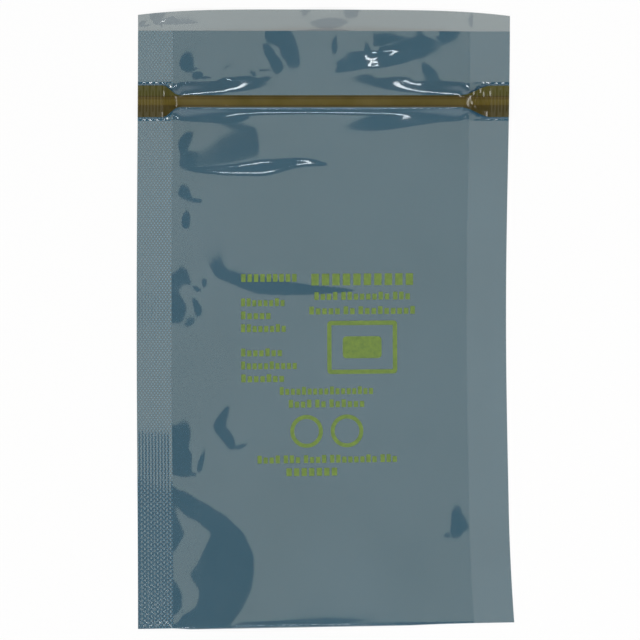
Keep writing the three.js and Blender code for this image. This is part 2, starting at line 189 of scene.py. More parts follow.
creases = [
    {"run": [(-37.0, 131.2), (-29.0, 130.6)], "wide": 0.6, "rise": 0.16},
    {"run": [(-35.6, 129.5), (-29.4, 129.1)], "wide": 0.5, "rise": 0.13},
    {"run": [(-16.6, 149.6), (-14.2, 148.2), (-11.0, 146.6)], "wide": 0.8, "rise": 0.34},
    {"run": [(-19.6, 148.6), (-14.6, 147.0), (-11.4, 144.6), (-10.6, 142.4), (-12.2, 141.0)],
     "wide": 0.7, "rise": 0.32},
    {"run": [(-33.0, 140.4), (-30.0, 140.9), (-26.8, 140.2)], "wide": 1.2, "rise": 0.50},
    {"run": [(-26.1, 141.2), (-23.4, 143.2), (-20.0, 143.4), (-17.0, 141.6), (-16.2, 138.4)],
     "wide": 0.7, "rise": 0.34},
    {"run": [(-25.8, 141.6), (-25.0, 138.6), (-23.0, 136.9)], "wide": 0.6, "rise": 0.28},
    {"run": [(-17.4, 141.4), (-14.0, 141.8), (-10.0, 141.5)], "wide": 0.6, "rise": 0.28},
    {"run": [(-15.0, 139.6), (-10.4, 140.8)], "wide": 0.6, "rise": 0.24},
    {"run": [(38.0, 144.9), (43.6, 143.2), (46.8, 141.2)], "wide": 0.6, "rise": 0.14},
]
lipFolds = [
    {"run": [(-6.6, 154.0), (1.0, 153.6), (9.6, 155.4)], "wide": 2.2, "slope": 0.19},
    {"run": [(-44.0, 154.8), (-36.0, 155.2), (-28.0, 154.4)], "wide": 1.2, "slope": 0.19},
    {"run": [(23.0, 155.2), (30.0, 153.6), (38.0, 153.0)], "wide": 1.1, "slope": 0.19},
    {"run": [(-47.2, 154.0), (-44.0, 155.0)], "wide": 0.6, "rise": 0.26},
    {"run": [(-43.4, 155.0), (-39.8, 156.2)], "wide": 0.6, "rise": 0.26},
    {"run": [(-41.6, 153.6), (-40.4, 154.2)], "wide": 0.5, "rise": 0.22},
    {"run": [(-36.8, 157.2), (-35.8, 156.2)], "wide": 0.6, "rise": 0.24},
]
# each group is whole this far off a seal
foldGroups = [(steps[:1], 2), (steps[1:], 14), (patches, 6), (creases, 2)]
foldHabit = {"fallPerRise": 24, "shortestFall": 8.0, "ends": 1.4, "thinnest": 0.3}
hollow = {  # the large low place at the bottom left, by height q: its rim, and the light patch inside it
    "q":     [0.0,   3.0,   5.0,   9.0,   13.6,  18.4,  24.0,  28.8,  33.0,  34.6,  36.0],
    "rim":   [-24.0, -21.6, -20.3, -18.3, -17.4, -17.7, -20.3, -24.8, -31.5, -35.4, -39.0],
    "right": [-38.9, -36.6, -33.3, -32.5, -34.6, -31.8, -28.8, -36.0, -38.9, -38.9, -38.9],
    "left":  [-38.9, -38.6, -36.4, -36.4, -38.9, -38.9, -35.6, -37.4, -38.9, -38.9, -38.9],
    "whole": [1.50,  1.55,  1.55,  1.55,  1.55,  1.45,  1.28,  1.02,  0.66,  0.52,  0.42],  # at the rim
    "reach": 60.0,        # beyond its rim the wall comes down over this distance
    "overSeal": 0.3,
    "thinnest": 0.5,
    "top": 36.0,
    "fadeUp": 42.0,
    "sealFade": (32.0, 5.0, 18.0),  # from here up, over this much, the wall rises slowly beside the seal
    "held": 0.6,
}
ripple = {
    "above": (3, 12),     # more from this far above the zipper, over this much
    "soft": (0.045, 0.03),
    "mouth": (0.06, 0.02),
}
sealLift = {
    "offZipper": (7, 8),  # none nearer to the zipper than this, all of it this much further
    "inward": 40,         # dies away this far inside a seal
    "left": 0.24,
    "leftLow": 0.60,      # the left seal is lifted more at the bottom
    "lowFrom": (-4, 6),
    "lowUpTo": (46, 12),
    "leftWaves": (0.12, 0.16),
    "wavesFrom": (56, 14),
    "right": 0.16,
    "rightWave": 0.14,
}


def smoothRun(points, parts=8):  # a curve through all the points
    ends = [np.array(point, float) for point in [points[0], *points, points[-1]]]
    run = []
    for a, b, c, d in zip(ends, ends[1:], ends[2:], ends[3:]):
        for k in range(parts):
            t = k / parts
            run.append(0.5 * (2 * b + (c - a) * t + (2 * a - 5 * b + 4 * c - d) * t * t
                              + (3 * b - a - 3 * c + d) * t ** 3))
    return np.array(run + [ends[-1]])


def foldRise(fold, p, q):
    run = smoothRun(fold["run"])
    if "slope" in fold:
        rise = 2 * fold["wide"] * fold["slope"]
        usualFall = max(foldHabit["fallPerRise"] * rise, foldHabit["shortestFall"])
        fold = {"fall": usualFall, "ends": foldHabit["ends"], **fold, "rise": rise}
    fall = fold.get("fall", 0)
    reach = fold["wide"] + fall + 0.5
    near = ((p > run[:, 0].min() - reach) & (p < run[:, 0].max() + reach)
            & (q > run[:, 1].min() - reach) & (q < run[:, 1].max() + reach))
    rise = np.zeros_like(p)
    if not near.any():
        return rise
    spot = np.stack([p[near], q[near]], axis=1)[:, None, :]
    start, step = run[:-1], np.diff(run, axis=0)
    length = np.linalg.norm(step, axis=1)
    along = np.clip(((spot - start) * step).sum(2) / length ** 2, 0, 1)
    off = spot - start - along[..., None] * step
    apart = np.linalg.norm(off, axis=2)
    best = apart.argmin(axis=1)
    pick = np.arange(len(best))
    side = np.sign(step[best, 0] * off[pick, best, 1] - step[best, 1] * off[pick, best, 0])
    share = (length.cumsum()[best] - length[best] * (1 - along[pick, best])) / length.sum()
    taper = np.sqrt(np.clip(4 * share * (1 - share), 0, 1))
    if "grow" in fold:  # evenly up to its full size, and evenly down again
        total = length.sum()
        along = share * total
        taper = np.minimum(along / fold["grow"], (total - along) / (total - fold["grow"])).clip(0, 1)
    wide = np.maximum(fold["wide"] * taper, foldHabit["thinnest"])
    away = side * apart[pick, best]
    if fall:
        climb = np.clip((away / wide + 1) / 2, 0, 1)
        if fold.get("steep"):
            climb = ease(climb)
        form = climb * (1 - ease((away - wide) / fall))
    else:
        form = ease(1 - np.abs(away) / wide)
    rise[near] = fold["rise"] * taper ** fold.get("ends", 1.0) * form
    return rise


def hollowRise(p, q):  # the wall climbs evenly out of the hollow, and is flat on its light patch
    names = ("rim", "right", "left", "whole")
    rim, right, left, whole = (np.interp(q, hollow["q"], hollow[name]) for name in names)
    seal = leftEdge - hollow["overSeal"]
    left, right, rim = np.maximum(left, seal), np.maximum(right, seal), np.maximum(rim, seal)
    climb = np.clip(p, seal, left) - seal + np.clip(p, right, rim) - right
    share = np.where(p < rim, climb / np.maximum(left - seal + rim - right, hollow["thinnest"]), 1)
    above = 1 - ease((q - hollow["top"]) / hollow["fadeUp"])
    start, over, inward = hollow["sealFade"]
    nearSeal = 1 - ease((q - start) / over) * (1 - np.clip((p - seal) / inward, 0, 1))
    outside = np.where(p < rim, 1, 1 - ease((p - rim) / hollow["reach"]))
    held = tableLift(np.full_like(p, leftEdge), q) - tableLift(p, q)  # up beside the lifted seal
    return (whole * share * nearSeal + held * hollow["held"]) * outside * above


def rippleRise(p, q):  # soft unevenness all over, a little more above the zipper
    start, over = ripple["above"]
    above = ease((q - zipAt - start) / over)
    broad, slanting = ripple["soft"]
    soft = broad * np.sin(p / 9.0 + 1.2) * np.sin(q / 13.0 + 0.4) + slanting * np.sin(p / 6.3 + q / 8.7)
    broad, slanting = ripple["mouth"]
    mouth = broad * np.sin(0.30 * p + 0.25 * (q - zipAt)) + slanting * np.sin(0.71 * p - 0.3 * q + 1.0)
    return soft + above * mouth


def wallRelief(p, q):
    edge = np.minimum(p - leftEdge, rightEdge - p)
    rise = hollowRise(p, q)
    for folds, reach in foldGroups:
        rise = rise + sum(foldRise(fold, p, q) for fold in folds) * np.clip((edge + 0.5) / reach, 0, 1)
    return rise


def smoothed(field):  # rounds the creases a little
    padded = np.pad(field, 1, mode="edge")
    across = (padded[:-2] + 2 * padded[1:-1] + padded[2:]) / 4
    return (across[:, :-2] + 2 * across[:, 1:-1] + across[:, 2:]) / 4


def tableLift(p, q):  # the side seals don't lie quite flat
    def rampUp(value, ramp):
        return ease((value - ramp[0]) / ramp[1])

    def rampDown(value, ramp):
        return ease((ramp[0] - value) / ramp[1])

    awayFromZip = rampUp(np.abs(q - zipAt), sealLift["offZipper"])
    low = sealLift["leftLow"] * rampUp(q, sealLift["lowFrom"]) * rampDown(q, sealLift["lowUpTo"])
    short, long = sealLift["leftWaves"]
    mid = short * np.sin(q / 6.1 + 0.8) + long * np.sin(q / 14.0 + 2.0)
    inward = sealLift["inward"]
    left = np.clip((p + half) / bag["leftSeal"], 0, 1) * ease((-p + leftEdge + inward) / inward)
    right = np.clip((half - p) / bag["rightSeal"], 0, 1) * ease((p - rightEdge + inward) / inward)
    tilt = left * (sealLift["left"] + low + mid * (1 - rampDown(q, sealLift["wavesFrom"])))
    tilt = tilt + right * (sealLift["right"] + sealLift["rightWave"] * np.sin(q / 9.0))
    return np.maximum(tilt, 0) * awayFromZip


def wallGap(p, q):
    edge = np.minimum(p - leftEdge, rightEdge - p)
    apart = ease(edge / bag["pillowRamp"])
    foot = ease(q / bag["footRamp"])
    level = bag["foldGap"] + (bag["pillow"] - bag["foldGap"]) * foot + bag["mouth"] * ease((q - zipAt) / 5)
    overSeal, inward = bag["sealRim"]
    relief = smoothed(wallRelief(p, q)) * ease((edge + overSeal) / inward)
    rim = bag["rimRise"] * ease(edge / bag["rimRamp"])
    base = level * apart + relief + rippleRise(p, q) * ease(edge / bag["rippleRamp"]) + rim
    base = np.where(edge > 0, np.maximum(base, bag["closestGap"]), bag["closestGap"])
    crush = crushAt(p)
    stack = zipper["stack"] + (zipper["crushedStack"] - zipper["stack"]) * crush
    over = q - zipAt
    away = np.maximum(np.abs(over) - stripEdge(p), 0)
    crest = zipper["crest"] * np.clip((bandReach - over) / (2 * bandReach), 0, 1)
    crest = crest * (1 - zipper["crestLost"] * crush)
    reach = np.where(over < 0, zipper["reachBelow"], zipper["reachAbove"])
    reach = zipper["reachAtSeal"] + (reach - zipper["reachAtSeal"]) * ease(edge / zipper["reachRamp"])
    whole = base + np.maximum(stack - base, 0) * (1 - ease(away / reach))
    whole = whole + crest * (1 - ease(away / zipper["crestFall"]))
    draped = (1 - np.clip(away / zipper["drape"], 0, 1)) ** 2
    flat = bag["closestGap"] + (stack + crest - bag["closestGap"]) * draped
    near = ease((bag["sealBlend"] - edge) / bag["sealBlend"]) * (away < reach)
    gap = whole * (1 - near) + np.maximum(flat, np.where(edge > 0, base, 0)) * near
    return np.maximum(gap, bag["closestGap"])


# the film as one folded and welded sheet

grid = {
    "leftSealColumns": 22,      # two for each row of embossed dots
    "rightSealColumns": 24,
    "middleColumns": 102,
    "coarseColumns": 3,         # the back wall has one face for this many
    "footRows": 226,
    "zipRows": (6, 6, 6),
    "mouthRows": 22,
    "lipRows": 10,
    "coarseRows": 4,
    "arcSteps": 4,
    "tallDots": 0.13,           # low on the left seal
    "tallUpTo": (58, 24),
    "faintDots": 0.012,         # all over the rest of both seals
    "crushedDots": 0.07,
    "crushedInset": 0.4,
}


def evenSteps(start, stops):
    places = [start]
    for stop, count in stops:
        places += list(np.linspace(places[-1], stop, count + 1)[1:])
    return np.array(places)


columns = evenSteps(-half, [(leftEdge, grid["leftSealColumns"]), (rightEdge, grid["middleColumns"]),
                            (half, grid["rightSealColumns"])])
rows = evenSteps(0, [(zipAt - drapeReach, grid["footRows"]), (zipAt - bandReach, grid["zipRows"][0]),
                     (zipAt + bandReach, grid["zipRows"][1]), (zipAt + drapeReach, grid["zipRows"][2]),
                     (bag["frontHeight"], grid["mouthRows"]), (backHeight, grid["lipRows"])])
iLeft = grid["leftSealColumns"]
iRight = iLeft + grid["middleColumns"]
iLast = len(columns) - 1
jSlotLow = grid["footRows"]
jBandLow = jSlotLow + grid["zipRows"][0]
jBandHigh = jBandLow + grid["zipRows"][1]
jSlotHigh = jBandHigh + grid["zipRows"][2]
jFront = jSlotHigh + grid["mouthRows"]
jLast = len(rows) - 1


def followStrips(p, q):  # rows near the zipper follow the outline of its strips
    away = np.abs(q - zipAt)
    edge = stripEdge(p)
    inner = away * edge / bandReach
    outer = edge + (away - bandReach) * (drapeReach - edge) / (drapeReach - bandReach)
    moved = np.where(away <= bandReach, inner, np.where(away <= drapeReach, outer, away))
    return zipAt + np.sign(q - zipAt) * moved


gridP, gridQ = np.meshgrid(columns, rows, indexing="ij")
gridQ = followStrips(gridP, gridQ)
gridX, gridY = lay(gridP, gridQ)


def cellKind(i, j):
    if i < 0 or j < 0 or i >= iLast or j >= jLast:
        return "none"
    if j >= jFront:
        return "lip"
    inSeal = i < iLeft or i >= iRight
    return "weld" if inSeal and not jSlotLow <= j < jSlotHigh else "open"


def touches(i, j, kinds):
    return any(cellKind(i - m, j - n) in kinds for m in (0, 1) for n in (0, 1))


def embossing():  # staggered dots all over both seals, also over the zipper's crushed ends
    dots = np.zeros_like(gridP)
    for i in [*range(2, iLeft - 1, 2), *range(iRight + 2, iLast - 1, 2)]:
        k = (i if i < iLeft else i - iRight) // 2
        dots[i, 1 + k % 2:jFront - 1:2] = 1
    top, fade = grid["tallUpTo"]
    tall = ease((top - gridQ) / fade) * (gridP < 0)
    height = grid["faintDots"] + (grid["tallDots"] - grid["faintDots"]) * tall
    crushed = grid["crushedDots"] * (np.abs(gridQ - zipAt) < slotReach - grid["crushedInset"])
    return dots * np.maximum(height, crushed)


dots = embossing()
onLip = gridQ - bag["frontHeight"]
lift = tableLift(gridP, gridQ) + bag["lipCurl"] * np.maximum(0, onLip / bag["lipHeight"]) ** 2
lift += bag["lipWave"] * ease(onLip / 3) * (1 + np.sin(gridP * 0.41 + 1.5) * np.sin(gridP * 0.13))
lipRise = sum(foldRise(fold, gridP, gridQ) for fold in lipFolds)
lift += smoothed(lipRise) * ease(onLip / bag["lipRamp"])
gap = wallGap(gridP, gridQ)
welded = np.zeros(gridP.shape, bool)
for i in range(iLast + 1):
    for j in [*range(jSlotLow + 1), *range(jSlotHigh, jLast + 1)]:
        if i <= iLeft or i >= iRight:
            welded[i, j] = touches(i, j, ("weld",))
gap[welded] = 0
backDots = np.where(welded, dots, 0)
levelZ = np.stack([lift + backDots, lift + bag["film"], lift + bag["film"] + gap,
                   lift + 2 * bag["film"] + gap + dots])
print("film heights up to", round(float(levelZ.max()), 3), "mm")


class Skin:  # collects corners and faces
    def __init__(self):
        self.corners, self.places, self.faces, self.slots, self.round = {}, [], [], [], []

    def add(self, key, place):
        if key not in self.corners:
            self.corners[key] = len(self.places)
            self.places.append([value * mm for value in place])
        return self.corners[key]

    def at(self, level, i, j):
        key = ("weld", i, j) if level in (1, 2) and welded[i, j] else (level, i, j)
        return self.add(key, (gridX[i, j], gridY[i, j], levelZ[level, i, j]))

    def face(self, loop, slot, flip=False, smooth=True):
        ring = [a for k, a in enumerate(loop) if a != loop[k - 1]]
        if len(ring) > 2:
            self.faces.append(ring[::-1] if flip else ring)
            self.slots.append(slot)
            self.round.append(smooth)


slotOf = {"wall": 0, "seal": 1, "lip": 2, "bonded": 3}


def cellSlot(i, j):
    if j >= jFront:
        return slotOf["lip"]
    if jBandLow <= j < jBandHigh:
        return slotOf["bonded"]
    return slotOf["seal"] if i < iLeft or i >= iRight else slotOf["wall"]


def fineCell(skin, level, i, j, flip):
    ring = [skin.at(level, *spot) for spot in ((i, j), (i + 1, j), (i + 1, j + 1), (i, j + 1))]
    embossed = (i < iLeft or i >= iRight) and j < jFront and level in (0, 3)
    skin.face(ring, cellSlot(i, j), flip, not embossed)


def coarseCell(skin, level, i0, i1, j0, j1, flip):  # takes in the fine corners along the panel's rim
    low = range(i0, i1) if j0 == 0 else [i0]
    right = range(j0, j1) if i1 == iRight else [j0]
    high = [i1]
    left = range(j1, j0, -1) if i0 == iLeft else [j1]
    ring = [skin.at(level, i, j0) for i in low] + [skin.at(level, i1, j) for j in right]
    ring += [skin.at(level, i, j1) for i in high] + [skin.at(level, i0, j) for j in left]
    skin.face(ring, cellSlot(i0, j0), flip)


def addPanels(skin):
    for i in range(iLast):
        for j in range(jLast):
            kind = cellKind(i, j)
            inSeal = i < iLeft or i >= iRight
            if kind != "lip":
                fineCell(skin, 3, i, j, False)
            if kind == "open":
                fineCell(skin, 2, i, j, True)
            if inSeal:
                fineCell(skin, 0, i, j, True)
                if kind != "weld":
                    fineCell(skin, 1, i, j, False)
    stops = [0, jSlotLow, jBandLow, jBandHigh, jSlotHigh, jFront, jLast]
    coarse = sorted({j for a, b in zip(stops, stops[1:]) for j in [*range(a, b, grid["coarseRows"]), b]})
    for i in range(iLeft, iRight, grid["coarseColumns"]):
        for j0, j1 in zip(coarse, coarse[1:]):
            coarseCell(skin, 0, i, i + grid["coarseColumns"], j0, j1, True)
            coarseCell(skin, 1, i, i + grid["coarseColumns"], j0, j1, False)


def addRims(skin):
    def middle(i, j):  # a corner between the levels, where a neighbour needs one
        return [skin.at(1, i, j)] if welded[i, j] and touches(i, j, ("open", "lip")) else []

    for i, flip in ((0, True), (iLast, False)):
        inner = 0 if i == 0 else iLast - 1
        for j in range(jLast):
            kind = cellKind(inner, j)
            slot = cellSlot(inner, j)
            if kind == "weld":
                ring = [skin.at(0, i, j), skin.at(0, i, j + 1)] + middle(i, j + 1)
                ring += [skin.at(3, i, j + 1), skin.at(3, i, j)] + middle(i, j)
                skin.face(ring, slot, flip)
            for low in {"open": (0, 2), "lip": (0,)}.get(kind, ()):
                spots = ((low, j), (low, j + 1), (low + 1, j + 1), (low + 1, j))
                skin.face([skin.at(level, i, spot) for level, spot in spots], slot, flip)
    for i in range(iLast):  # the front wall's top edge
        spots = ((2, i), (2, i + 1), (3, i + 1), (3, i))
        skin.face([skin.at(level, spot, jFront) for level, spot in spots], cellSlot(i, jFront - 1), True)
    top = [*range(0, iLeft), *range(iLeft, iRight, grid["coarseColumns"]), *range(iRight, iLast + 1)]
    for a, b in zip(top, top[1:]):
        ring = [skin.at(0, a, jLast), skin.at(0, b, jLast), skin.at(1, b, jLast), skin.at(1, a, jLast)]
        skin.face(ring, slotOf["lip"], True)


def addFold(skin):
    parts = grid["arcSteps"]

    def arc(i, low, high):
        lowZ, highZ = levelZ[low, i, 0], levelZ[high, i, 0]
        radius = (highZ - lowZ) / 2
        ring = [skin.at(low, i, 0)]
        for k in range(1, parts):
            angle = -math.pi / 2 + math.pi * k / parts
            x, y = lay(columns[i], -min(radius, bag["foldBulge"]) * math.cos(angle))
            ring.append(skin.add(("arc", low, i, k), (x, y, lowZ + radius * (1 + math.sin(angle)))))
        return ring + [skin.at(high, i, 0)]

    for i in range(iLast):
        near, far = arc(i, 0, 3), arc(i + 1, 0, 3)
        slot = cellSlot(i, 0)
        for k in range(parts):
            skin.face([near[k], far[k], far[k + 1], near[k + 1]], slot)
        if iLeft <= i < iRight:
            flatLeft, flatRight = welded[i, 0], welded[i + 1, 0]
            near = [skin.at(1, i, 0)] * (parts + 1) if flatLeft else arc(i, 1, 2)
            far = [skin.at(1, i + 1, 0)] * (parts + 1) if flatRight else arc(i + 1, 1, 2)
            for k in range(parts):
                skin.face([near[k], near[k + 1], far[k + 1], far[k]], slot)
    skin.face(arc(0, 0, 3), slotOf["seal"])
    skin.face(arc(iLast, 0, 3), slotOf["seal"], True)


print("folding the film")
skin = Skin()
addPanels(skin)
addRims(skin)
addFold(skin)
filmMesh = bpy.data.meshes.new("bagFilm")
filmMesh.from_pydata(skin.places, [], skin.faces)
filmMesh.update()
bagFilm = bpy.data.objects.new("bag_film", filmMesh)
bpy.context.collection.objects.link(bagFilm)
makeActive(bagFilm)
bpy.ops.object.shade_smooth_by_angle(angle=math.radians(55))
filmMesh.polygons.foreach_set("use_smooth", skin.round)
print("film corners", len(skin.places), "faces", len(skin.faces))


# materials

def newMaterial(name, settings):
    material = bpy.data.materials.new(name)
    material.use_nodes = True
    shader = material.node_tree.nodes["Principled BSDF"]
    for socket, value in settings.items():
        shader.inputs[socket].default_value = value
    return material, material.node_tree, shader


def objectNoise(tree, scale, detail=3.0, rough=0.5):
    place = tree.nodes.new("ShaderNodeTexCoord")
    noise = tree.nodes.new("ShaderNodeTexNoise")
    noise.inputs["Scale"].default_value = scale
    noise.inputs["Detail"].default_value = detail
    noise.inputs["Roughness"].default_value = rough
    tree.links.new(place.outputs["Object"], noise.inputs["Vector"])
    return noise


def spread(tree, source, low, high):  # a noise mapped between two numbers
    band = tree.nodes.new("ShaderNodeMapRange")
    band.inputs["From Min"].default_value = 0.3
    band.inputs["From Max"].default_value = 0.7
    band.inputs["To Min"].default_value = low
    band.inputs["To Max"].default_value = high
    tree.links.new(source, band.inputs["Value"])
    return band.outputs["Result"]


def blendColours(tree, factor, first, second):
    ramp = tree.nodes.new("ShaderNodeValToRGB")
    ramp.color_ramp.elements[0].color = (*first, 1)
    ramp.color_ramp.elements[1].color = (*second, 1)
    ramp.color_ramp.elements[0].position = 0.3
    ramp.color_ramp.elements[1].position = 0.7
    tree.links.new(factor, ramp.inputs["Fac"])
    return ramp.outputs["Color"]


def addBump(tree, shader, height, distance, strength):
    bump = tree.nodes.new("ShaderNodeBump")
    bump.inputs["Distance"].default_value = distance
    bump.inputs["Strength"].default_value = strength
    tree.links.new(height, bump.inputs["Height"])
    tree.links.new(bump.outputs["Normal"], shader.inputs["Normal"])


def mathNode(tree, operation, first, second):
    node = tree.nodes.new("ShaderNodeMath")
    node.operation = operation
    for socket, value in zip(node.inputs, (first, second)):
        if isinstance(value, float):
            socket.default_value = value
        else:
            tree.links.new(value, socket)
    return node.outputs[0]


filmLook = {
    "wall": {"alpha": 0.60, "dark": (0.022, 0.104, 0.160), "pale": (0.034, 0.120, 0.182)},
    # the seal's spot colour is a painted highlight on its embossed dots
    "seal": {"alpha": 0.80, "dark": (0.012, 0.080, 0.132), "pale": (0.022, 0.098, 0.155),
             "dotGlint": (0.095, 0.200, 0.262)},
    "lip": {"alpha": 0.58, "dark": (0.070, 0.130, 0.160), "pale": (0.100, 0.160, 0.190)},
}
# painted highlights on the seals' embossed dots: their pitch, their strength on the left and right seal, and
# the blend between
sealDotGlints = {"pitch": (0.409, 0.572), "left": 0.75, "right": 0.28, "blend": 0.01}


def paintDotGlints(tree, colour, dotGlint):  # painted highlights: staggered rows of light spots where the seals' embossed dots catch the light, fainter on the right seal
    place = tree.nodes.new("ShaderNodeTexCoord")
    parts = tree.nodes.new("ShaderNodeSeparateXYZ")
    tree.links.new(place.outputs["Object"], parts.inputs["Vector"])
    waves = []
    for axis, pitch in zip("XY", sealDotGlints["pitch"]):
        turn = mathNode(tree, "MULTIPLY", parts.outputs[axis], math.pi / (pitch * mm))
        waves.append(mathNode(tree, "COSINE", turn, 0.0))
    spots = mathNode(tree, "MULTIPLY", waves[0], waves[1])
    side = tree.nodes.new("ShaderNodeMapRange")
    side.inputs["From Min"].default_value = -sealDotGlints["blend"]
    side.inputs["From Max"].default_value = sealDotGlints["blend"]
    side.inputs["To Min"].default_value = sealDotGlints["left"]
    side.inputs["To Max"].default_value = sealDotGlints["right"]
    tree.links.new(parts.outputs["X"], side.inputs["Value"])
    share = mathNode(tree, "MULTIPLY", mathNode(tree, "MAXIMUM", spots, 0.0), side.outputs["Result"])
    mix = tree.nodes.new("ShaderNodeMix")
    mix.data_type = "RGBA"
    tree.links.new(share, mix.inputs[0])
    tree.links.new(colour, mix.inputs[6])
    mix.inputs[7].default_value = (*dotGlint, 1)
    return mix.outputs[2]


def filmMaterial(name, look):
    settings = {"Alpha": look["alpha"], "Metallic": 0.0, "IOR": 1.6, "Specular IOR Level": 0.6,
                "Coat Weight": 0.6, "Coat Roughness": 0.05, "Coat IOR": 1.6}
    material, tree, shader = newMaterial(name, settings)
    cloud = objectNoise(tree, 28.0, 4.0)
    colour = blendColours(tree, cloud.outputs["Fac"], look["dark"], look["pale"])
    # light spots painted over the seals as highlights on their embossed dots
    if "dotGlint" in look:
        colour = paintDotGlints(tree, colour, look["dotGlint"])
    tree.links.new(colour, shader.inputs["Base Color"])
    smear = objectNoise(tree, 90.0, 3.0)
    tree.links.new(spread(tree, smear.outputs["Fac"], 0.07, 0.13), shader.inputs["Roughness"])
    grain = objectNoise(tree, 260.0, 3.0, 0.6)
    addBump(tree, shader, grain.outputs["Fac"], 0.000014, 0.2)
    return material


def bondedMaterial():  # olive strip seen through the film on it, with shade painted in: darker along both its edges and in a line below its upper edge
    settings = {"Metallic": 0.0, "Specular IOR Level": 0.2, "Coat Weight": 0.3, "Coat Roughness": 0.06,
                "Coat IOR": 1.5}
    material, tree, shader = newMaterial("film bonded to zipper with painted shade", settings)
    place = tree.nodes.new("ShaderNodeTexCoord")
    parts = tree.nodes.new("ShaderNodeSeparateXYZ")
    across = tree.nodes.new("ShaderNodeMapRange")
    across.inputs["From Min"].default_value = (zipAt + bag["shift"][1] - bandReach) * mm
    across.inputs["From Max"].default_value = (zipAt + bag["shift"][1] + bandReach) * mm
    ramp = tree.nodes.new("ShaderNodeValToRGB")
    # painted shade across the strip: the olive darkens towards both edges of the band and in a line below its
    # upper edge
    stops = [(0.0, (0.050, 0.038, 0.008)), (0.16, (0.056, 0.040, 0.007)), (0.24, (0.092, 0.068, 0.010)),
             (0.62, (0.098, 0.075, 0.012)), (0.70, (0.066, 0.046, 0.007)), (0.80, (0.084, 0.060, 0.010)),
             (0.90, (0.044, 0.030, 0.006)), (1.0, (0.060, 0.056, 0.008))]
    while len(ramp.color_ramp.elements) < len(stops):
        ramp.color_ramp.elements.new(0.5)
    for element, (spot, colour) in zip(ramp.color_ramp.elements, stops):
        element.position = spot
        element.color = (*colour, 1)
    cloud = objectNoise(tree, 160.0, 4.0)
    mix = tree.nodes.new("ShaderNodeMix")
    mix.data_type = "RGBA"
    mix.blend_type = "MULTIPLY"
    mix.inputs[0].default_value = 1.0
    shade = blendColours(tree, cloud.outputs["Fac"], (0.82, 0.84, 0.80), (1.14, 1.12, 1.10))
    tree.links.new(place.outputs["Object"], parts.inputs["Vector"])
    tree.links.new(parts.outputs["Y"], across.inputs["Value"])
    tree.links.new(across.outputs["Result"], ramp.inputs["Fac"])
    tree.links.new(ramp.outputs["Color"], mix.inputs[6])
    tree.links.new(shade, mix.inputs[7])
    tree.links.new(mix.outputs[2], shader.inputs["Base Color"])
    tree.links.new(spread(tree, cloud.outputs["Fac"], 0.12, 0.30), shader.inputs["Roughness"])
    rib = objectNoise(tree, 900.0, 2.0)
    addBump(tree, shader, rib.outputs["Fac"], 0.00006, 0.4)
    return material


def stripMaterial():
    settings = {"Metallic": 0.0, "Specular IOR Level": 0.45}
    material, tree, shader = newMaterial("olive zipper plastic", settings)
    cloud = objectNoise(tree, 120.0, 4.0)
    colour = blendColours(tree, cloud.outputs["Fac"], (0.070, 0.052, 0.011), (0.115, 0.088, 0.022))
    tree.links.new(colour, shader.inputs["Base Color"])
    tree.links.new(spread(tree, cloud.outputs["Fac"], 0.35, 0.5), shader.inputs["Roughness"])
    addBump(tree, shader, cloud.outputs["Fac"], 0.00005, 0.4)
    return material


def inkMaterial():
    settings = {"Metallic": 0.0, "Specular IOR Level": 0.4}
    material, tree, shader = newMaterial("yellow green ink", settings)
    mottle = objectNoise(tree, 900.0, 4.0, 0.6)
    colour = blendColours(tree, mottle.outputs["Fac"], (0.095, 0.165, 0.036), (0.165, 0.250, 0.042))
    tree.links.new(colour, shader.inputs["Base Color"])
    tree.links.new(spread(tree, mottle.outputs["Fac"], 0.35, 0.6), shader.inputs["Roughness"])
    addBump(tree, shader, mottle.outputs["Fac"], 0.00002, 0.4)
    return material


print("materials")
for name in ("wall", "seal", "lip"):
    bagFilm.data.materials.append(filmMaterial("shielding film " + name, filmLook[name]))
bagFilm.data.materials.append(bondedMaterial())
bagFilm.data.polygons.foreach_set("material_index", skin.slots)

stripLook = stripMaterial()
for node in ("zipper_groove_strip", "zipper_rib_strip"):
    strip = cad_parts[node]
    for place in strip.material_slots:
        place.material = stripLook


# print: rows of small plain blocks, a frame with a block in it and two rings

ink = {
    "thick": 0.03,
    "clear": 0.025,      # the ink's underside over the film's faces
    "gapShare": 0.30,    # space between two blocks of a run
    "wordGap": 1.0,
    "lowShare": 0.76,    # height of the lower blocks
    "corner": 0.12,
    "noticeLeft": -20.7,
    "titleMiddle": 10.5,
    "footMiddle": 1.2,
    "ringSpacing": 10.4,
    "footShift": -4.0,   # the last line stands this much to the left
    "rowStep": 0.6,      # distance between the corners that follow the film
    "shapeStep": 1.5,
    "shapeCorner": 0.9,
    "rise": -2.9,
}


def row(node, width, height, words, tall):
    return {"node": node, "width": width, "height": height, "words": words, "tall": tall}


def column(name, lines, tall=None):  # each line has its width, its height and how many blocks its runs have
    return [row("print_%s_line_%d" % (name, k + 1), *line, tall=k == tall) for k, line in enumerate(lines)]


notices = column("notice", [(14.3, 2.0, [9]), (11.2, 2.0, [8]), (7.6, 2.0, [5]), (11.5, 2.0, [8]),
                            (10.5, 2.0, [7]), (14.3, 2.0, [10]), (11.0, 2.0, [7])], tall=0)
titles = column("title", [(26.2, 3.0, [10]), (24.6, 2.0, [4, 8, 3]), (27.2, 2.0, [5, 2, 9])], tall=0)
notes = column("note", [(24.0, 2.0, [17]), (19.4, 2.0, [4, 2, 6])])
feet = column("foot", [(35.8, 2.0, [4, 3, 4, 8, 3]), (13.0, 2.0, [7])], tall=1)


def stackDown(top, entries, gaps):
    for entry, space in zip(entries, [*gaps, 0]):
        entry["q"] = top - entry["height"] / 2
        top -= entry["height"] + space
    return top


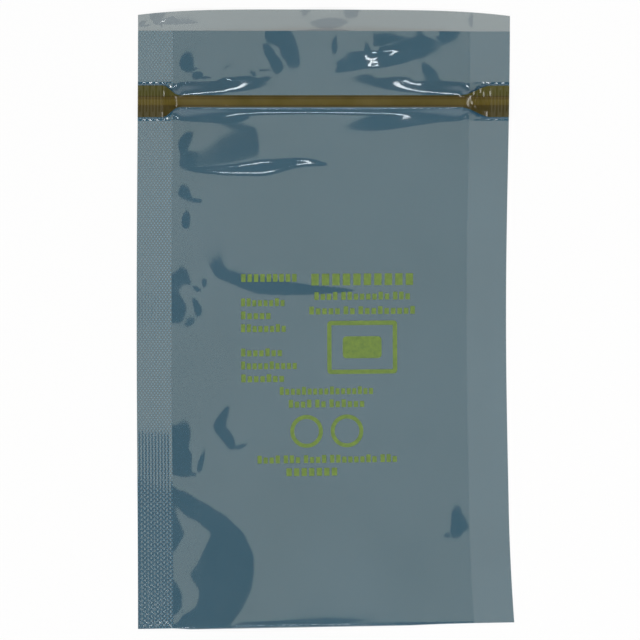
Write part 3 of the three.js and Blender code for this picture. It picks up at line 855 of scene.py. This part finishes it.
inkFrame = {"node": "print_frame", "width": 18.0, "height": 13.6, "line": 1.1}
inkBlock = {"node": "print_block", "width": 10.0, "height": 5.6}
inkRing = {"node": "print_ring_left", "width": 8.4, "height": 8.4, "line": 1.0}
noticeLow = stackDown(0, notices, [4.2, 1.3, 1.3, 4.2, 1.3, 1.3])
titleLow = stackDown(0, [*titles, inkFrame], [1.7, 1.7, 1.7])
footLow = stackDown(min(noticeLow, titleLow) - 1.3, [*notes, inkRing, *feet], [1.3, 1.9, 1.9, 1.3])
inkBlock["q"] = inkFrame["q"]
inkShift = zipAt / 2 + ink["rise"] - footLow / 2
for entry in notices:
    entry["p"] = ink["noticeLeft"] + entry["width"] / 2
for entry in [*titles, inkFrame, inkBlock]:
    entry["p"] = ink["titleMiddle"]
for entry in [*notes, *feet]:
    entry["p"] = ink["footMiddle"]
feet[1]["p"] += ink["footShift"]
inkRing["p"] = ink["footMiddle"] - ink["ringSpacing"] / 2
inkTwin = dict(inkRing, node="print_ring_right", p=inkRing["p"] + ink["ringSpacing"])


def filmTop(p, q):  # height of the front wall's face under a place
    i = np.clip(np.searchsorted(columns, p, side="right") - 1, 0, iLast - 1)
    j = np.clip(np.searchsorted(rows, q, side="right") - 1, 0, jLast - 1)
    s = (p - columns[i]) / (columns[i + 1] - columns[i])
    t = (q - rows[j]) / (rows[j + 1] - rows[j])
    z = levelZ[3]
    return (z[i, j] * (1 - s) * (1 - t) + z[i + 1, j] * s * (1 - t)
            + z[i, j + 1] * (1 - s) * t + z[i + 1, j + 1] * s * t)


def layOnFilm(piece, entry):  # the flat piece in mm follows the film under it
    count = len(piece.data.vertices)
    spots = np.empty(count * 3)
    piece.data.vertices.foreach_get("co", spots)
    spots = spots.reshape(-1, 3)
    p, q = spots[:, 0] + entry["p"], spots[:, 1] + entry["q"] + inkShift
    x, y = lay(p, q)
    z = filmTop(p, q) + ink["clear"] + spots[:, 2]
    piece.data.vertices.foreach_set("co", (np.stack([x, y, z], axis=1) * mm).ravel())
    piece.data.update()


def roundedSlab(width, height, corner, name):
    deselectAll()
    bpy.ops.mesh.primitive_plane_add(size=1)
    piece = bpy.context.object
    piece.name = name
    piece.scale = (width, height, 1)
    bpy.ops.object.transform_apply(location=False, rotation=False, scale=True)
    bpy.ops.object.mode_set(mode="EDIT")
    bpy.ops.mesh.select_all(action="SELECT")
    bpy.ops.mesh.bevel(offset=corner, segments=3, affect="VERTICES")
    return piece


def thicken(piece):
    makeActive(piece)
    bpy.ops.object.mode_set(mode="EDIT")
    bpy.ops.mesh.select_all(action="SELECT")
    bpy.ops.mesh.extrude_region_move(TRANSFORM_OT_translate={"value": (0, 0, ink["thick"])})
    bpy.ops.mesh.select_all(action="SELECT")
    bpy.ops.mesh.normals_make_consistent(inside=False)
    bpy.ops.object.mode_set(mode="OBJECT")


def openUp(line):  # cuts out the middle, leaving a line round it
    bpy.ops.mesh.select_all(action="SELECT")
    bpy.ops.mesh.inset(thickness=line)
    bpy.ops.mesh.delete(type="FACE")
    bpy.ops.object.mode_set(mode="OBJECT")


def refine(piece, step):  # enough corners to follow the film
    makeActive(piece)
    bpy.ops.object.mode_set(mode="EDIT")
    for axis, size in ((0, piece.dimensions.x), (1, piece.dimensions.y)):
        for k in range(1, int(size / step)):
            place, normal = [0, 0, 0], [0, 0, 0]
            place[axis], normal[axis] = -size / 2 + k * size / int(size / step), 1
            bpy.ops.mesh.select_all(action="SELECT")
            bpy.ops.mesh.bisect(plane_co=place, plane_no=normal)
    bpy.ops.object.mode_set(mode="OBJECT")


def finishInk(piece, entry, look):
    thicken(piece)
    layOnFilm(piece, entry)
    piece.name = entry["node"].replace("print_", "ink_")
    piece.data.materials.clear()
    piece.data.materials.append(look)
    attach(piece, "root")
    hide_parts(entry["node"])


def inkRow(entry, look):
    letters = sum(entry["words"])
    free = entry["width"] - ink["wordGap"] * (len(entry["words"]) - 1)
    pitch = free / (letters - ink["gapShare"] * len(entry["words"]))
    block = roundedSlab(pitch * (1 - ink["gapShare"]), entry["height"], ink["corner"], "inkBlock")
    bpy.ops.object.mode_set(mode="OBJECT")
    refine(block, ink["rowStep"])
    copies, place = [], -entry["width"] / 2
    for word in entry["words"]:
        for k in range(word):
            copy = block.copy()
            copy.data = block.data.copy()
            bpy.context.collection.objects.link(copy)
            share = 1 if k == 0 or entry["tall"] or (k * 7 + word) % 5 == 0 else ink["lowShare"]
            copy.scale = (1, share, 1)
            copy.location = (place + pitch * (1 - ink["gapShare"]) / 2, -entry["height"] * (1 - share) / 2, 0)
            place += pitch
            copies.append(copy)
        place += ink["wordGap"] - pitch * ink["gapShare"]
    bpy.data.objects.remove(block)
    deselectAll()
    for copy in copies:
        copy.select_set(True)
    bpy.context.view_layer.objects.active = copies[0]
    bpy.ops.object.transform_apply(location=True, rotation=True, scale=True)
    bpy.ops.object.join()
    finishInk(bpy.context.object, entry, look)


inkLook = inkMaterial()
for entry in [*notices, *titles, *notes, *feet]:
    inkRow(entry, inkLook)

piece = roundedSlab(inkFrame["width"], inkFrame["height"], ink["shapeCorner"], "inkFrame")
openUp(inkFrame["line"])
refine(piece, ink["shapeStep"])
finishInk(piece, inkFrame, inkLook)
piece = roundedSlab(inkBlock["width"], inkBlock["height"], ink["shapeCorner"], "inkBlock")
bpy.ops.object.mode_set(mode="OBJECT")
refine(piece, ink["shapeStep"])
finishInk(piece, inkBlock, inkLook)
for entry in (inkRing, inkTwin):
    deselectAll()
    bpy.ops.mesh.primitive_circle_add(vertices=48, radius=entry["width"] / 2, fill_type="NGON")
    piece = bpy.context.object
    bpy.ops.object.mode_set(mode="EDIT")
    openUp(entry["line"])
    finishInk(piece, entry, inkLook)
print("print laid on the film")


# studio

studio = {
    "cameraHeight": 2.4,
    "viewWidth": 0.16384,   # seen at the film's height
    "filmHeight": 0.001,
    "viewMiddle": (-0.00140, -0.00019),
    "sensor": 36.0,
    "low": 0.95,         # the backdrop near the horizon
    "high": 0.12,
    "floorGlow": 0.86,
    "overhead": {"place": (0.0, 0.10, 1.5), "size": (0.60, 0.90), "shine": 1.2, "colour": (1.0, 0.99, 0.82)},
    "fill": {"place": (0.5, -0.9, 1.7), "size": (1.0, 1.0), "shine": 4.6, "colour": (1, 1, 1)},
    "ring": {"away": 0.80, "height": 1.27, "size": (0.34, 0.075), "shine": 15.0,
             "turns": [0, 42, 88, 134, 180, 226, 272, 318]},
}

bpy.ops.object.camera_add(location=(*studio["viewMiddle"], studio["cameraHeight"]), rotation=(0, 0, 0))
camera = bpy.context.object
bpy.context.scene.camera = camera
camera.data.sensor_width = studio["sensor"]
camera.data.lens = studio["sensor"] * (studio["cameraHeight"] - studio["filmHeight"]) / studio["viewWidth"]
camera.data.clip_start = 0.05


def addLamp(name, lamp):
    bpy.ops.object.light_add(type="AREA", location=lamp["place"])
    light = bpy.context.object
    light.name = name
    light.data.shape = "RECTANGLE"
    light.data.size, light.data.size_y = lamp["size"]
    light.data.color = lamp["colour"]
    light.data.energy = lamp["shine"] * math.pi * lamp["size"][0] * lamp["size"][1]
    light.rotation_euler = (-Vector(lamp["place"])).to_track_quat("-Z", "Y").to_euler()
    light.visible_camera = False
    return light


addLamp("overhead", studio["overhead"])
addLamp("fill", studio["fill"]).visible_glossy = False
ring = studio["ring"]
for turn in ring["turns"]:
    angle = math.radians(turn)
    place = (ring["away"] * math.sin(angle), -ring["away"] * math.cos(angle), ring["height"])
    lamp = {"place": place, "size": ring["size"], "shine": ring["shine"], "colour": (1, 1, 1)}
    addLamp("ring %d" % turn, lamp)


def rayShare(tree):  # 1 for what the camera sees, directly, mirrored or through something
    path = tree.nodes.new("ShaderNodeLightPath")
    most = path.outputs["Is Camera Ray"]
    for name in ("Is Glossy Ray", "Is Transmission Ray"):
        most = mathNode(tree, "MAXIMUM", most, path.outputs[name])
    return most


world = bpy.data.worlds.new("studio")  # pale round the horizon, dim above
bpy.context.scene.world = world
world.use_nodes = True
sky = world.node_tree
place = sky.nodes.new("ShaderNodeTexCoord")
parts = sky.nodes.new("ShaderNodeSeparateXYZ")
level = sky.nodes.new("ShaderNodeMapRange")
level.interpolation_type = "SMOOTHSTEP"
skyRange = {"From Min": 0.32, "From Max": 0.60, "To Min": studio["low"], "To Max": studio["high"]}
for socket, value in skyRange.items():
    level.inputs[socket].default_value = value
sky.links.new(place.outputs["Generated"], parts.inputs["Vector"])
sky.links.new(parts.outputs["Z"], level.inputs["Value"])
sky.links.new(level.outputs["Result"], sky.nodes["Background"].inputs["Strength"])
sky.nodes["Background"].inputs["Color"].default_value = (1, 1, 1, 1)

deselectAll()
bpy.ops.mesh.primitive_circle_add(vertices=64, radius=8.0, fill_type="NGON", location=(0, 0, -0.00002))
floor = bpy.context.object
floor.name = "floor"
bpy.ops.object.transform_apply(location=True)
material, tree, shader = newMaterial("pale floor", {"Base Color": (0.9, 0.9, 0.9, 1), "Roughness": 0.9,
                                                    "Specular IOR Level": 0.1})
glow = tree.nodes.new("ShaderNodeEmission")
mixer = tree.nodes.new("ShaderNodeMixShader")
amount = tree.nodes.new("ShaderNodeMapRange")
amount.inputs["To Max"].default_value = studio["floorGlow"]
tree.links.new(rayShare(tree), amount.inputs["Value"])
tree.links.new(amount.outputs["Result"], mixer.inputs[0])
tree.links.new(shader.outputs[0], mixer.inputs[1])
tree.links.new(glow.outputs[0], mixer.inputs[2])
tree.links.new(mixer.outputs[0], tree.nodes["Material Output"].inputs["Surface"])
floor.data.materials.append(material)
bpy.context.scene.view_settings.view_transform = "Standard"
print("studio set")

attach(bagFilm, "root")
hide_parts("film_sheet")
